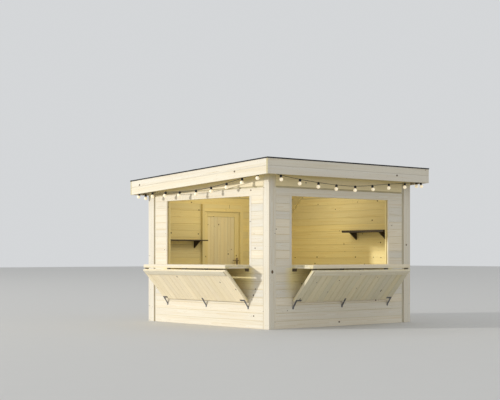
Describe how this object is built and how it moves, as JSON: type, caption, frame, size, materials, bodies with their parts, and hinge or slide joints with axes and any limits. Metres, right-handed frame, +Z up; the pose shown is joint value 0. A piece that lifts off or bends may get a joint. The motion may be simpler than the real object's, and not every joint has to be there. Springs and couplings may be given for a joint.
{
  "type": "street kiosk",
  "caption": "Square timber sales kiosk with a mono-pitched felt roof, two serving windows with folding shutters, a back door and string lights.",
  "frame": {"origin": "middle of the front left corner post's foot, on the ground", "axes": "+X runs along the front wall to the right, +Y runs back from the front wall, +Z is up"},
  "size_m": [3.6941, 3.6941, 2.4652],
  "materials": {
    "spruce": "matt",
    "felt": "matt",
    "dark_shelf": "satin",
    "dark_steel": "satin",
    "cable": "matt",
    "socket": "satin",
    "bulb": "opal"
  },
  "bodies": {
    "kiosk": {"back_beam": "spruce", "back_fascia": "spruce", "back_header": "spruce", "back_left_panel": "spruce", "back_right_panel": "spruce", "back_shelf": "dark_shelf", "back_string": "cable", "corner_posts": "spruce", "door_frame": "spruce", "door_hinge_pins": "dark_steel", "front_apron": "spruce", "front_beam": "spruce", "front_brackets": "dark_steel", "front_counter": "spruce", "front_fascia": "spruce", "front_flap": "spruce", "front_header": "spruce", "front_hinges": "dark_steel", "front_left_panel": "spruce", "front_right_panel": "spruce", "front_string": "cable", "front_window_frame": "spruce", "knee_braces": "spruce", "left_apron": "spruce", "left_back_panel": "spruce", "left_brackets": "dark_steel", "left_counter": "spruce", "left_fascia": "spruce", "left_flap": "spruce", "left_front_panel": "spruce", "left_gable": "spruce", "left_header": "spruce", "left_hinges": "dark_steel", "left_string": "cable", "left_window_frame": "spruce", "rafters": "spruce", "right_fascia": "spruce", "right_gable": "spruce", "right_shelf": "dark_shelf", "right_string": "cable", "right_wall": "spruce", "roof_deck": "spruce", "roof_felt": "felt", "string_bulbs": "bulb", "string_hooks": "dark_steel", "string_sockets": "socket"},
    "door": {"door_leaf": "spruce", "door_panel": "spruce", "door_handle": "dark_steel", "door_hinge_leaves": "dark_steel"}
  },
  "joints": [
    {"name": "door_hinge", "type": "hinge", "parent": "kiosk", "child": "door", "pos_m": [1.037, 2.947, 0], "axis": [0, 0, 1], "range_deg": [0, 100]}
  ]
}
